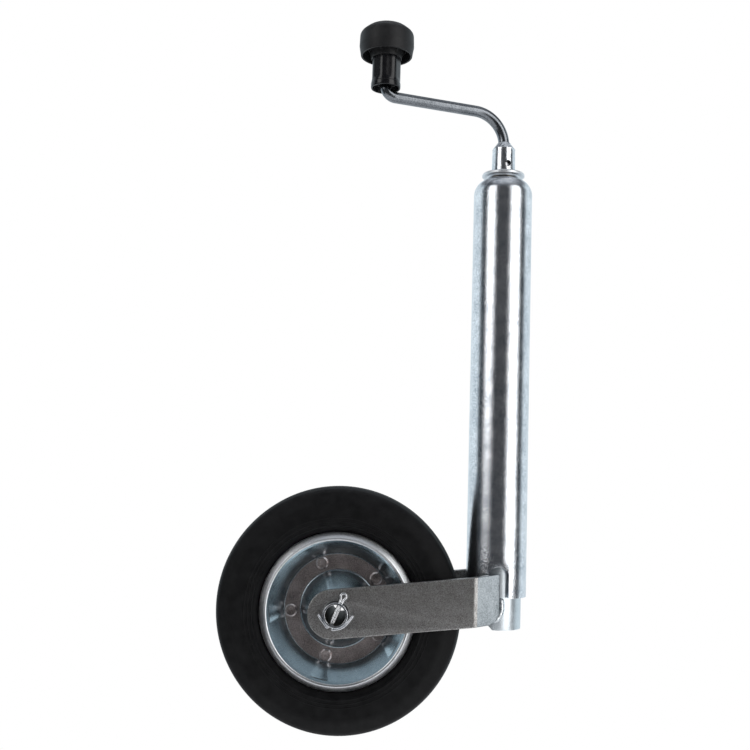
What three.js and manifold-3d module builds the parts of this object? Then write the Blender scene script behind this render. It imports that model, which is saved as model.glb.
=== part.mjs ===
// Jockey wheel (trailer tongue jack) for a 48 mm drawbar clamp, fully wound in.
//
// Millimetres, +Z up along the tubes, origin on the tube axis half way up the outer tube.
// The wheel hangs on the -X side of the tubes and rolls about the Y direction.
// Heights (names ending in Z) are counted from the lower end of the outer tube.
// Touching pieces keep a gap of about 0.3 mm, so that every piece is a solid of its own.

import * as THREE from 'three';
import { mergeVertices } from 'three/addons/utils/BufferGeometryUtils.js';
import Module from 'manifold-3d';

const wasm = await Module();
wasm.setup();

const { degToRad } = THREE.MathUtils;
const GAP = 0.3;

// Outer tube, the part that the drawbar clamp grips
const TUBE_R = 24;
const TUBE_WALL = 2.5;
const TUBE_BORE_R = TUBE_R - TUBE_WALL;
const TUBE_H = 341;
const DOME_R = 14;
const NECK_R = 10;
const NOTCH_HALF_WIDTH = 8;
const NOTCH_H = 24.4;

// Inner tube, the part that slides out
const LEG_R = 20;
const LEG_WALL = 2.5;
const LEG_BORE_R = LEG_R - LEG_WALL;
const LEG_BOTTOM_Z = -25;
const LEG_TOP_Z = 303;

// Screw spindle, Tr16 x 4, drawn at its major diameter
const SPINDLE_R = 8;
const SPINDLE_BOTTOM_Z = 56;
const SPINDLE_END_R = 6;
const SPINDLE_END_Z = 64;
const SPINDLE_NECK_R = 6.5;
const SPINDLE_NECK_Z = 341.2;
const SPINDLE_TOP_Z = 362;
const CLIP_GROOVE_R = 5;
const CLIP_GROOVE_Z = 58.2;
const CLIP_THICK = 1.3;
const COLLAR_PIN_Z = 321;
const COLLAR_PIN_R = 2;

// Thrust bearing under the dome
const BALL_R = 2.5;
const BALL_RING_R = 13;
const BALL_Z = 329.2;
const BALL_COUNT = 8;
const GROOVE_R = BALL_R + GAP;
const RACE_BORE_R = 9;
const RACE_R = 17;

// Crank
const CRANK_TURN = degToRad(17);
const CRANK_REACH = 104;
const BAR_R = 4.5;
const BAR_START_Z = 364.3;
const BAR_TOP_Z = 449;
const INNER_BEND_R = 27;
const INNER_BEND_Z = 370;
const OUTER_BEND_R = 9;
const ARM_RISE = degToRad(2.2);
const FLANGE_Z = 342;
const SLEEVE_BASE_Z = 346.5;
const SLEEVE_TOP_Z = 367.5;
const ROLL_PIN_Z = 353;
const ROLL_PIN_R = 2.5;

// Knob
const STEM_Z = 406;
const CORE_TOP_Z = 445.4;
const CAP_RIM_Z = 433;
const CAP_TOP_Z = 458.5;
const CAP_R = 22.25;
const CAP_RIBS = 6;

// Fork arms, bent from flat bar and welded to the sides of the inner tube
const ARM_WIDTH = 38;
const ARM_THICK = 5;
const ARM_OUTER_Y = 35;
const ARM_BEND_X = -19.3;
const ARM_END_X = 0.9;
const ARM_BEND = 22.5;
const ARM_CORNER_R = 11;
const ARM_EYE_OVERHANG = 3.3;

// Axle, a tube held by a split pin at each end
const AXLE_X = -126;
const AXLE_Z = -14.5;
const AXLE_R = 9.75;
const AXLE_BORE_R = 8;
const AXLE_HALF = 42;
const SPLIT_PIN_Y = 37.6;
const SPLIT_WIRE_R = 1;
const SPLIT_HOLE_R = 2.5;
const SPLIT_TILT = { near: 22, far: -32 };

// Wheel
const TYRE_R = 98;
const HUB_TUBE_R = 13;
const HUB_TUBE_BORE_R = 11.6;
const HUB_HALF = 27.4;
const RIM_SHEET = 1.8;
const RIVET_RING_R = 38.4;
const RIVET_SHANK_R = 3;
const RIVET_HEAD_R = 5.1;
const RIVET_COUNT = 5;
const RIVET_START = degToRad(40);
const PEEP_HOLE_R = 2.5;
const PEEP_HOLE_ANGLE = degToRad(166);

// Looks: colour, roughness, metalness
const ZINC = [0xb4bcc4, 0.32, 1];
const DULL_ZINC = [0x8d9196, 0.5, 1];
const STEEL = [0x9a9da1, 0.38, 1];
const HARDENED = [0xc9ccd0, 0.2, 1];
const BRONZE = [0xb08a4e, 0.4, 1];
const BRASS = [0xc2a15a, 0.35, 1];
const NYLON = [0xe6e2d6, 0.55, 0];
const RUBBER = [0x17171a, 0.75, 0];
const GLOSS_BLACK = [0x101012, 0.25, 0];
const MATT_BLACK = [0x19191b, 0.6, 0];

// --- frames --------------------------------------------------------------------------------

const part = new THREE.Group();

// Heights start at the lower end of the outer tube.
const tubes = new THREE.Group();
tubes.position.z = -TUBE_H / 2;
part.add(tubes);

// The crank's arm points along -X of this group.
const crank = new THREE.Group();
crank.rotation.z = CRANK_TURN;
tubes.add(crank);

const handle = new THREE.Group();
handle.position.x = -CRANK_REACH;
crank.add(handle);

// Everything on the axle is turned about this group's Y axis.
const axle = new THREE.Group();
axle.position.set(AXLE_X, 0, AXLE_Z);
tubes.add(axle);

// --- shape helpers -------------------------------------------------------------------------

function toSolid(geometry) {
  geometry.deleteAttribute('normal');
  geometry.deleteAttribute('uv');
  const merged = mergeVertices(geometry, 1e-4);
  const index = merged.index.array;
  const position = merged.attributes.position.array;
  const triangles = [];
  for (let i = 0; i < index.length; i += 3) {
    const corners = [index[i], index[i + 1], index[i + 2]];
    if (new Set(corners).size === 3) triangles.push(...corners);
  }
  return new wasm.Manifold(new wasm.Mesh({
    numProp: 3,
    vertProperties: new Float32Array(position),
    triVerts: new Uint32Array(triangles),
  }));
}

// Closed [radius, height] profile turned about Y; it runs anticlockwise, outwards along the bottom.
function turnedAboutY(profile, sides = 24) {
  const closed = [...profile, profile[0]].map(([r, y]) => new THREE.Vector2(r, y));
  return toSolid(new THREE.LatheGeometry(closed, sides));
}

// The same, turned about Z
function turned(profile, sides = 24) {
  return turnedAboutY(profile, sides).rotate([90, 0, 0]);
}

function ring(innerR, outerR, lowZ, highZ, sides = 24) {
  return turned([[innerR, lowZ], [outerR, lowZ], [outerR, highZ], [innerR, highZ]], sides);
}

function pin(radius, lowZ, highZ, sides = 12) {
  return ring(0, radius, lowZ, highZ, sides);
}

function ringAboutY(innerR, outerR, lowY, highY, sides = 24) {
  return turnedAboutY([[innerR, lowY], [outerR, lowY], [outerR, highY], [innerR, highY]], sides);
}

function pinAboutY(radius, lowY, highY, sides = 12) {
  return ringAboutY(0, radius, lowY, highY, sides);
}

// Flat plate with an [x, z] outline, filling y from lowY to highY
function plate(outline, lowY, highY) {
  const shape = new THREE.Shape(outline.map(([x, z]) => new THREE.Vector2(x, z)));
  const depth = highY - lowY;
  const geometry = new THREE.ExtrudeGeometry(shape, { depth, bevelEnabled: false });
  geometry.rotateX(Math.PI / 2);
  geometry.translate(0, highY, 0);
  return toSolid(geometry);
}

// Round bar along a curve
function roundBar(curve, radius, sides, steps) {
  const section = new THREE.Shape(arc(0, 0, radius, 0, 2 * Math.PI, sides)
    .slice(0, sides)
    .map(([x, y]) => new THREE.Vector2(x, y)));
  const options = { steps, extrudePath: curve, bevelEnabled: false };
  return toSolid(new THREE.ExtrudeGeometry(section, options));
}

// Points on an arc about [x, y], from one angle to another, both ends included
function arc(x, y, radius, from, to, steps) {
  return Array.from({ length: steps + 1 }, (_, i) => {
    const angle = from + ((to - from) * i) / steps;
    return [x + radius * Math.cos(angle), y + radius * Math.sin(angle)];
  });
}

// A path moved sideways, to the right of its direction of travel
function offsetPath(path, distance) {
  return path.map(([x, y], i) => {
    const [x0, y0] = path[Math.max(i - 1, 0)];
    const [x1, y1] = path[Math.min(i + 1, path.length - 1)];
    const length = Math.hypot(x1 - x0, y1 - y0);
    return [x + ((y1 - y0) / length) * distance, y - ((x1 - x0) / length) * distance];
  });
}

// Ring with an open mouth, as a spring clip has
function clip(innerR, outerR, lowZ, highZ) {
  const x = outerR + 1;
  const mouth = plate([[0, lowZ - 1], [x, lowZ - 1], [x, highZ + 1], [0, highZ + 1]], -1.6, 1.6);
  return ring(innerR, outerR, lowZ, highZ, 20).subtract(mouth);
}

function add(group, name, solid, [color, roughness, metalness]) {
  const { vertProperties, triVerts } = solid.getMesh();
  const geometry = new THREE.BufferGeometry();
  geometry.setAttribute('position', new THREE.BufferAttribute(new Float32Array(vertProperties), 3));
  geometry.setIndex(new THREE.BufferAttribute(new Uint32Array(triVerts), 1));
  geometry.computeVertexNormals();
  const material = new THREE.MeshStandardMaterial({ color, roughness, metalness });
  const piece = new THREE.Mesh(geometry, material);
  piece.name = name;
  group.add(piece);
  return piece;
}

// --- outer tube ----------------------------------------------------------------------------

// Drawn tube with a domed shoulder, and an arched notch front and back for the fork arms' feet
function outerTube() {
  const domeX = TUBE_R - DOME_R;
  const domeZ = TUBE_H - DOME_R;
  const innerR = DOME_R - TUBE_WALL;
  const outerEnd = Math.acos((NECK_R - domeX) / DOME_R);
  const innerEnd = Math.acos((NECK_R - domeX) / innerR);
  const tube = turned([
    [TUBE_BORE_R, 0],
    [TUBE_R, 0],
    ...arc(domeX, domeZ, DOME_R, 0, outerEnd, 5),
    ...arc(domeX, domeZ, innerR, innerEnd, 0, 3),
  ], 36);
  const crownZ = NOTCH_H - NOTCH_HALF_WIDTH;
  const notch = plate([
    [-NOTCH_HALF_WIDTH, -1],
    [NOTCH_HALF_WIDTH, -1],
    ...arc(0, crownZ, NOTCH_HALF_WIDTH, 0, Math.PI, 8),
  ], -TUBE_R - 2, TUBE_R + 2);
  return tube.subtract(notch);
}

add(tubes, 'outer_tube', outerTube(), ZINC);

// Flanged bush pressed into the neck from below
add(tubes, 'neck_bush', turned([
  [SPINDLE_R + GAP, 334.4],
  [12.6, 334.4],
  [12.6, 336],
  [NECK_R - GAP, 336],
  [NECK_R - GAP, TUBE_H + 0.4],
  [SPINDLE_R + GAP, TUBE_H + 0.4],
]), BRONZE);

// --- thrust bearing: fixed upper race, balls in a cage, lower race that turns -----------------

function race(flatZ, faceZ) {
  const side = Math.sign(faceZ - BALL_Z);
  const reach = side * Math.acos(Math.abs(faceZ - BALL_Z) / GROOVE_R);
  const middle = (side * Math.PI) / 2;
  const profile = [
    [RACE_BORE_R, flatZ],
    [RACE_BORE_R, faceZ],
    ...arc(BALL_RING_R, BALL_Z, GROOVE_R, middle + reach, middle - reach, 4),
    [RACE_R, faceZ],
    [RACE_R, flatZ],
  ];
  return turned(side > 0 ? profile : profile.reverse());
}

add(tubes, 'upper_bearing_race', race(334, 331), HARDENED);
add(crank, 'lower_bearing_race', race(324.4, 327.4), HARDENED);

let cage = ring(9.4, 16.6, BALL_Z - 1, BALL_Z + 1);
for (let i = 0; i < BALL_COUNT; i += 1) {
  const angle = (2 * Math.PI * i) / BALL_COUNT;
  const x = BALL_RING_R * Math.cos(angle);
  const y = BALL_RING_R * Math.sin(angle);
  cage = cage.subtract(pin(BALL_R + GAP, BALL_Z - 3, BALL_Z + 3).translate([x, y, 0]));
  const sphere = toSolid(new THREE.SphereGeometry(BALL_R, 8, 6));
  add(crank, `bearing_ball_${i + 1}`, sphere, HARDENED).position.set(x, y, BALL_Z);
}
add(crank, 'bearing_cage', cage, BRASS);

// --- spindle -------------------------------------------------------------------------------

const collarPinHole = pinAboutY(COLLAR_PIN_R + GAP, -20, 20).translate([0, 0, COLLAR_PIN_Z]);
const rollPinHole = pinAboutY(ROLL_PIN_R + GAP, -15, 15).translate([0, 0, ROLL_PIN_Z]);

add(crank, 'spindle', turned([
  [0, SPINDLE_BOTTOM_Z],
  [SPINDLE_END_R, SPINDLE_BOTTOM_Z],
  [SPINDLE_END_R, CLIP_GROOVE_Z],
  [CLIP_GROOVE_R, CLIP_GROOVE_Z],
  [CLIP_GROOVE_R, CLIP_GROOVE_Z + CLIP_THICK + 2 * GAP],
  [SPINDLE_END_R, CLIP_GROOVE_Z + CLIP_THICK + 2 * GAP],
  [SPINDLE_END_R, SPINDLE_END_Z],
  [SPINDLE_R, SPINDLE_END_Z],
  [SPINDLE_R, SPINDLE_NECK_Z],
  [SPINDLE_NECK_R, SPINDLE_NECK_Z],
  [SPINDLE_NECK_R, SPINDLE_TOP_Z],
  [0, SPINDLE_TOP_Z],
]).subtract(collarPinHole).subtract(rollPinHole), STEEL);

add(crank, 'spindle_collar', ring(SPINDLE_R + GAP, 14, 318.1, 324.1).subtract(collarPinHole), STEEL);
add(crank, 'collar_pin', pinAboutY(COLLAR_PIN_R, -13.5, 13.5), STEEL).position.z = COLLAR_PIN_Z;
add(crank, 'spindle_end_washer',
  ring(SPINDLE_END_R + GAP, 13, SPINDLE_END_Z - 3.1, SPINDLE_END_Z - GAP), STEEL);

const circlipZ = CLIP_GROOVE_Z + GAP;
add(crank, 'spindle_circlip', clip(CLIP_GROOVE_R + GAP, 9, circlipZ, circlipZ + CLIP_THICK), HARDENED);

// --- crank ---------------------------------------------------------------------------------

// The flange is thicker in its middle, which hides the neck bush.
add(crank, 'crank_flange', turned([
  [SPINDLE_NECK_R + GAP, FLANGE_Z],
  [12.5, FLANGE_Z],
  [13.6, FLANGE_Z + 1.1],
  [16.9, FLANGE_Z + 1.1],
  [17.5, FLANGE_Z + 1.6],
  [17.5, FLANGE_Z + 3],
  [16.6, FLANGE_Z + 3.7],
  [9.5, SLEEVE_BASE_Z - GAP],
  [SPINDLE_NECK_R + GAP, SLEEVE_BASE_Z - GAP],
], 30), ZINC);

// The sleeve takes the spindle's neck below and the bar above, where a cone of weld closes it.
add(crank, 'crank_sleeve', turned([
  [SPINDLE_NECK_R + GAP, SLEEVE_BASE_Z],
  [9.75, SLEEVE_BASE_Z],
  [9.3, SLEEVE_TOP_Z - 0.6],
  [8.9, SLEEVE_TOP_Z],
  [6.6, SLEEVE_TOP_Z + 2.5],
  [BAR_R + GAP, SLEEVE_TOP_Z + 4.9],
  [BAR_R + GAP, 363.6],
  [SPINDLE_NECK_R + GAP, 363.6],
]).subtract(rollPinHole), ZINC);

add(crank, 'sleeve_roll_pin', ringAboutY(1.4, ROLL_PIN_R, -8.4, 8.4, 12), STEEL).position.z = ROLL_PIN_Z;

// Up from the sleeve, over, out along the gently rising arm, and up again into the knob
function crankLine() {
  const turn = Math.PI / 2 - ARM_RISE;
  const inner = arc(INNER_BEND_R, INNER_BEND_Z, INNER_BEND_R, Math.PI, Math.PI - turn, 12);
  const [innerX, innerZ] = inner[inner.length - 1];
  const outerX = CRANK_REACH - OUTER_BEND_R;
  const startX = outerX + OUTER_BEND_R * Math.sin(ARM_RISE);
  const startZ = innerZ + (startX - innerX) * Math.tan(ARM_RISE);
  const outer = arc(outerX, startZ + OUTER_BEND_R * Math.cos(ARM_RISE), OUTER_BEND_R, -turn, 0, 9);
  const line = [[0, BAR_START_Z], ...inner, ...outer, [CRANK_REACH, BAR_TOP_Z]];
  const points = line.map(([x, z]) => new THREE.Vector3(-x, 0, z));
  const path = new THREE.CurvePath();
  for (let i = 1; i < points.length; i += 1) {
    path.add(new THREE.LineCurve3(points[i - 1], points[i]));
  }
  return path;
}

add(crank, 'crank_rod', roundBar(crankLine(), BAR_R, 12, 38), ZINC);
add(handle, 'knob_clip', clip(BAR_R + 0.2, 7.4, 446.2, 447.4), HARDENED);

// --- knob: a hard core that turns on the bar, and a hollow cap over its top ------------------

add(handle, 'knob_core', turned([
  [6.6, STEM_Z],
  [11.6, STEM_Z],
  [12.1, STEM_Z + 0.6],
  [12.1, STEM_Z + 4],
  [11.8, STEM_Z + 4.6],
  [11.8, 431],
  [9, 433.4],
  [9, CORE_TOP_Z],
  [BAR_R + GAP, CORE_TOP_Z],
  [BAR_R + GAP, 412],
]), GLOSS_BLACK);

function knobCap() {
  let cap = turned([
    [0, 452.6],
    [9.3, 452.6],
    [9.3, CAP_RIM_Z + 0.9],
    [12.3, CAP_RIM_Z - 1.2],
    [12.6, CAP_RIM_Z + 0.4],
    [13.4, 449],
    [19.2, 448],
    [19.2, CAP_RIM_Z],
    [20.9, CAP_RIM_Z],
    [CAP_R, 442],
    [CAP_R - 0.35, 450],
    [19.2, 455.6],
    [14, 457.7],
    [0, CAP_TOP_Z],
  ], 28);
  const ribLowZ = CAP_RIM_Z + 1.6;
  const rib = plate([[12.9, ribLowZ], [20, ribLowZ], [20, 449.6], [12.9, 449.6]], -0.9, 0.9);
  for (let i = 0; i < CAP_RIBS; i += 1) {
    cap = cap.add(rib.rotate([0, 0, (360 * i) / CAP_RIBS]));
  }
  return cap;
}

add(handle, 'knob_cap', knobCap(), MATT_BLACK);

// --- inner tube with its nut and guide ring --------------------------------------------------

// The foot is mitred on the wheel's side.
function innerTube() {
  const mitre = plate([[-24, -30], [1, -30], [-24, -5]], -LEG_R - 2, LEG_R + 2);
  return ring(LEG_BORE_R, LEG_R, LEG_BOTTOM_Z, LEG_TOP_Z, 36).subtract(mitre);
}

add(tubes, 'inner_tube', innerTube(), ZINC);

add(tubes, 'spindle_nut', turned([
  [SPINDLE_R + GAP, 285],
  [LEG_BORE_R - GAP, 285],
  [LEG_BORE_R - GAP, LEG_TOP_Z + GAP],
  [LEG_R, LEG_TOP_Z + GAP],
  [LEG_R, LEG_TOP_Z + 4],
  [SPINDLE_R + GAP, LEG_TOP_Z + 4],
]), BRONZE);

add(tubes, 'guide_ring', ring(LEG_R + GAP, TUBE_BORE_R - GAP, 279, 299, 36), NYLON);

// --- fork arms -----------------------------------------------------------------------------

// An arm climbs from the axle to the tube's foot; its middle line meets the tube axis at height 0.
const ARM_SLOPE = AXLE_Z / AXLE_X;
const ARM_ANGLE = Math.atan(ARM_SLOPE);
const ARM_HALF_RISE = ARM_WIDTH / 2 / Math.cos(ARM_ANGLE);

function armEdgeZ(x, side) {
  return ARM_SLOPE * x + side * ARM_HALF_RISE;
}

function armEyeOutline() {
  const eyeX = AXLE_X - ARM_EYE_OVERHANG;
  const from = Math.PI / 2 + ARM_ANGLE;
  return [
    ...arc(eyeX, ARM_SLOPE * eyeX, ARM_WIDTH / 2, from, from + Math.PI, 12),
    [ARM_BEND_X, armEdgeZ(ARM_BEND_X, -1)],
    [ARM_BEND_X, armEdgeZ(ARM_BEND_X, 1)],
  ];
}

// The welded end in the flat sheet, before it is folded in; its lower corner is rounded.
function armFootOutline(endX) {
  const cornerX = endX - ARM_CORNER_R;
  const cornerZ = armEdgeZ(cornerX, -1) + ARM_CORNER_R / Math.cos(ARM_ANGLE);
  return [
    [ARM_BEND_X, armEdgeZ(ARM_BEND_X, -1)],
    ...arc(cornerX, cornerZ, ARM_CORNER_R, ARM_ANGLE - Math.PI / 2, 0, 6),
    [endX, armEdgeZ(endX, 1)],
    [ARM_BEND_X, armEdgeZ(ARM_BEND_X, 1)],
  ];
}

// The arm on the -Y side; the other one is its mirror image.
function forkArm() {
  const flat = plate(armEyeOutline(), -ARM_OUTER_Y, -ARM_OUTER_Y + ARM_THICK);
  const sheetEndX = ARM_BEND_X + (ARM_END_X - ARM_BEND_X) / Math.cos(degToRad(ARM_BEND));
  const folded = plate(armFootOutline(sheetEndX), 0, ARM_THICK)
    .translate([-ARM_BEND_X, 0, 0])
    .rotate([0, 0, ARM_BEND])
    .translate([ARM_BEND_X, -ARM_OUTER_Y, 0]);
  const hole = pinAboutY(AXLE_R + GAP, -60, 60, 24).translate([AXLE_X, 0, AXLE_Z]);
  return flat.add(folded).subtract(hole);
}

add(tubes, 'fork_arm_near', forkArm(), DULL_ZINC);
add(tubes, 'fork_arm_far', forkArm().mirror([0, 1, 0]), DULL_ZINC);

// --- axle and split pins ---------------------------------------------------------------------

function axleTube() {
  const hole = pin(SPLIT_HOLE_R, -15, 15);
  return ringAboutY(AXLE_BORE_R, AXLE_R, -AXLE_HALF, AXLE_HALF)
    .subtract(hole.rotate([0, SPLIT_TILT.near, 0]).translate([0, -SPLIT_PIN_Y, 0]))
    .subtract(hole.rotate([0, SPLIT_TILT.far, 0]).translate([0, SPLIT_PIN_Y, 0]));
}

add(axle, 'axle_tube', axleTube(), ZINC);

// One wire: a leg bent round the axle, up through it, round the eye, and back the same way.
// Points are [across, along], with along positive towards the eye.
function splitPin() {
  const leg = SPLIT_WIRE_R + 0.15;
  const bentLeg = [95, 75, 55, 38, 25].map((degrees) => {
    const radius = AXLE_R + SPLIT_WIRE_R + 0.55 + degrees * 0.028;
    return [radius * Math.sin(degToRad(degrees)), -radius * Math.cos(degToRad(degrees))];
  });
  const half = [
    ...bentLeg,
    [2.9, -11.5],
    [1.6, -10.9],
    [leg, -9.4],
    [leg, -4],
    [leg, 4],
    [leg, 10],
    [1.5, 13.1],
    [2.5, 15.4],
    [1.7, 17.5],
  ];
  const back = half.map(([x, z]) => [-x, z]).reverse();
  const points = [...half, [0, 18.2], ...back].map(([x, z]) => new THREE.Vector3(x, 0, z));
  const curve = new THREE.CatmullRomCurve3(points, false, 'centripetal');
  return roundBar(curve, SPLIT_WIRE_R, 6, 44);
}

const nearPin = add(axle, 'split_pin_near', splitPin(), STEEL);
nearPin.position.y = -SPLIT_PIN_Y;
nearPin.rotation.y = degToRad(SPLIT_TILT.near);

const farPin = add(axle, 'split_pin_far', splitPin(), STEEL);
farPin.position.y = SPLIT_PIN_Y;
farPin.rotation.y = degToRad(SPLIT_TILT.far);

// --- wheel -----------------------------------------------------------------------------------

// Visible side of a pressed rim half, as [radius, distance from the middle plane], hub to lip
const RIM_RING_Y = 2;
const RIM_RING_R = 43.8;
const RIM_BOSS = [[14, 25.2], [16.8, 24], [30.2, 3.8]];
const RIM_BOWL = [[46.2, 4.2], [54.8, 19.6]];
const RIM_LIP = [[58.6, 23.2], [61, 23.4], [62, 21.6]];

function onRivetRing(angle) {
  return [RIVET_RING_R * Math.cos(angle), 0, RIVET_RING_R * Math.sin(angle)];
}

function rivetAngle(i) {
  return RIVET_START + (2 * Math.PI * i) / RIVET_COUNT;
}

function rimHalf() {
  const flat = [[33, RIM_RING_Y], [RIM_RING_R, RIM_RING_Y]];
  const shown = [...RIM_BOSS, ...flat, ...RIM_BOWL, ...RIM_LIP];
  const hidden = offsetPath(shown, RIM_SHEET);
  const rivetHole = pinAboutY(RIVET_SHANK_R + GAP, -6, 6);
  let half = turnedAboutY([...hidden, ...shown.reverse()], 28);
  for (let i = 0; i < RIVET_COUNT; i += 1) {
    half = half.subtract(rivetHole.translate(onRivetRing(rivetAngle(i))));
  }
  return half.subtract(pinAboutY(PEEP_HOLE_R, -6, 6).translate(onRivetRing(PEEP_HOLE_ANGLE)));
}

add(axle, 'rim_half_far', rimHalf(), ZINC);
add(axle, 'rim_half_near', rimHalf().mirror([0, 1, 0]), ZINC);

const RIVET_HEAD_Y = RIM_RING_Y + GAP;

for (let i = 0; i < RIVET_COUNT; i += 1) {
  const rivet = turnedAboutY([
    [0, -RIVET_HEAD_Y - 1.9],
    [3.4, -RIVET_HEAD_Y - 1.5],
    [RIVET_HEAD_R, -RIVET_HEAD_Y],
    [RIVET_SHANK_R, -RIVET_HEAD_Y],
    [RIVET_SHANK_R, RIVET_HEAD_Y],
    [RIVET_HEAD_R, RIVET_HEAD_Y],
    [3.4, RIVET_HEAD_Y + 1.5],
    [0, RIVET_HEAD_Y + 1.9],
  ], 12);
  add(axle, `rim_rivet_${i + 1}`, rivet, DULL_ZINC).position.set(...onRivetRing(rivetAngle(i)));
}

// Solid rubber, moulded to the outside of the two bowls
function tyre() {
  const seat = offsetPath([[RIM_RING_R, RIM_RING_Y], ...RIM_BOWL], RIM_SHEET + 0.4)
    .filter(([, y]) => y > 0.6);
  const side = [
    ...seat,
    [58.6, 20.4],
    [62.5, 20.4],
    [62.8, 23.6],
    [66.5, 24.8],
    [87, 24.8],
    [93, 23],
    [96.8, 18.4],
    [TYRE_R, 10],
  ];
  const otherSide = side.map(([r, y]) => [r, -y]);
  return turnedAboutY([...otherSide, ...side.reverse()], 36);
}

add(axle, 'tyre', tyre(), RUBBER);

add(axle, 'hub_tube', ringAboutY(HUB_TUBE_BORE_R, HUB_TUBE_R, -HUB_HALF, HUB_HALF), STEEL);

function hubBush() {
  return turnedAboutY([
    [AXLE_R + GAP, 15],
    [HUB_TUBE_BORE_R - GAP, 15],
    [HUB_TUBE_BORE_R - GAP, HUB_HALF + GAP],
    [15, HUB_HALF + GAP],
    [15, 29.5],
    [AXLE_R + GAP, 29.5],
  ]);
}

add(axle, 'hub_bush_far', hubBush(), NYLON);
add(axle, 'hub_bush_near', hubBush().mirror([0, 1, 0]), NYLON);

export default part;
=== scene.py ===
import math

import bmesh
import bpy
from mathutils import Matrix, Vector, noise


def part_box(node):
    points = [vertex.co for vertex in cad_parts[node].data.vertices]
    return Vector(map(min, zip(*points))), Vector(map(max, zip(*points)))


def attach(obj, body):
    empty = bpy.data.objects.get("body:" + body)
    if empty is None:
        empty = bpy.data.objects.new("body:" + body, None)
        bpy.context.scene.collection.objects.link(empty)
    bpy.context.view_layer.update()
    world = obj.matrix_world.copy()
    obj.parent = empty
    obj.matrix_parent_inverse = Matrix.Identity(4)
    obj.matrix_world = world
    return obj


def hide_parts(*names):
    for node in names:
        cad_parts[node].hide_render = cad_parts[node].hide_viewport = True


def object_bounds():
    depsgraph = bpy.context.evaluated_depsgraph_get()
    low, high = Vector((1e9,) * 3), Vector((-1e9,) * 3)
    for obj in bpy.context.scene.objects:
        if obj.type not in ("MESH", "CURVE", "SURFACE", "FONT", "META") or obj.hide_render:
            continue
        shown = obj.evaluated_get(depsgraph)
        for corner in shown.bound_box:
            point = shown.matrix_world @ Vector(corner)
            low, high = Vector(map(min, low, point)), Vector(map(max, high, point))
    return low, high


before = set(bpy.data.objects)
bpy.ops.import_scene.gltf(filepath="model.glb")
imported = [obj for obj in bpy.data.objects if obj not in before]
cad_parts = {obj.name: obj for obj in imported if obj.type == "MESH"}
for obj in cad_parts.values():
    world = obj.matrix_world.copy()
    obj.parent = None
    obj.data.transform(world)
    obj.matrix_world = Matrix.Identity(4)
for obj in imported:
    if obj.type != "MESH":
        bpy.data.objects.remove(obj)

# The looks of a jockey wheel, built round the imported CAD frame.
#
# Shapes are in millimetres, in the frame of the part that they belong to:
#   TUBES   the outer tube's axis, heights from its lower end
#   CRANK   the same, turned so that the crank's arm points along -X
#   HANDLE  the knob's axis, heights as in TUBES
#   AXLE    the wheel's centre, turning about Y
# place() takes them to the row's frame, in metres.

cad_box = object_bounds()


# --- frames, read from the CAD boxes -----------------------------------------------------------

def middle(node):
    low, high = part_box(node)
    return (low + high) / 2


MM = Matrix.Scale(0.001, 4)
tube_foot = Vector((middle("outer_tube").x, middle("outer_tube").y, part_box("outer_tube")[0].z))
knob_axis = middle("knob_core")
crank_angle = math.atan2(tube_foot.y - knob_axis.y, tube_foot.x - knob_axis.x)

TUBES = Matrix.Translation(tube_foot) @ MM
CRANK = Matrix.Translation(tube_foot) @ Matrix.Rotation(crank_angle, 4, "Z") @ MM
HANDLE = Matrix.Translation((knob_axis.x, knob_axis.y, tube_foot.z)) @ MM
AXLE = Matrix.Translation(middle("axle_tube")) @ MM


def in_tubes(point):
    """A point of the row's frame, in TUBES millimetres."""
    return TUBES.inverted() @ Vector(point)


AXLE_CENTRE = in_tubes(middle("axle_tube"))
TUBE_H = in_tubes(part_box("outer_tube")[1]).z
CRANK_REACH = (Vector(knob_axis.xy) - Vector(tube_foot.xy)).length * 1000


# --- outlines -----------------------------------------------------------------------------------

def arc(x, y, radius, start, end, steps):
    """Points on an arc about (x, y), in degrees, both ends included."""
    points = []
    for i in range(steps + 1):
        angle = math.radians(start + (end - start) * i / steps)
        points.append((x + radius * math.cos(angle), y + radius * math.sin(angle)))
    return points


def rounded(corners, closed=True, degrees_per_step=12):
    """An outline with filleted corners. A corner is (x, y) or (x, y, fillet radius)."""
    count = len(corners)
    outline = []
    for i, corner in enumerate(corners):
        point = Vector(corner[:2])
        radius = corner[2] if len(corner) > 2 else 0
        at_end = not closed and i in (0, count - 1)
        if radius == 0 or at_end:
            outline.append(tuple(point))
            continue
        back = (Vector(corners[i - 1][:2]) - point).normalized()
        ahead = (Vector(corners[(i + 1) % count][:2]) - point).normalized()
        half = back.angle(ahead) / 2
        centre = point + (back + ahead).normalized() * (radius / math.sin(half))
        start = point + back * (radius / math.tan(half)) - centre
        end = point + ahead * (radius / math.tan(half)) - centre
        sweep = start.angle_signed(end)
        steps = max(2, round(math.degrees(abs(sweep)) / degrees_per_step))
        for step in range(steps + 1):
            turn = -sweep * step / steps
            cosine, sine = math.cos(turn), math.sin(turn)
            outline.append((
                centre.x + start.x * cosine - start.y * sine,
                centre.y + start.x * sine + start.y * cosine,
            ))
    return outline


def offset_outline(path, distance):
    """An open path moved sideways, to the right of its direction of travel."""
    moved = []
    for i, (x, y) in enumerate(path):
        before = Vector(path[max(i - 1, 0)])
        after = Vector(path[min(i + 1, len(path) - 1)])
        along = (after - before).normalized()
        moved.append((x + along.y * distance, y - along.x * distance))
    return moved


def densified(path, longest, low=-math.inf, high=math.inf):
    """The same open path, with no segment longer than longest where x is from low to high."""
    points = [path[0]]
    for start, end in zip(path, path[1:]):
        inside = low < start[0] < high
        steps = max(1, math.ceil(math.dist(start, end) / longest)) if inside else 1
        for i in range(1, steps + 1):
            points.append(tuple(a + (b - a) * i / steps for a, b in zip(start, end)))
    return points


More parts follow.
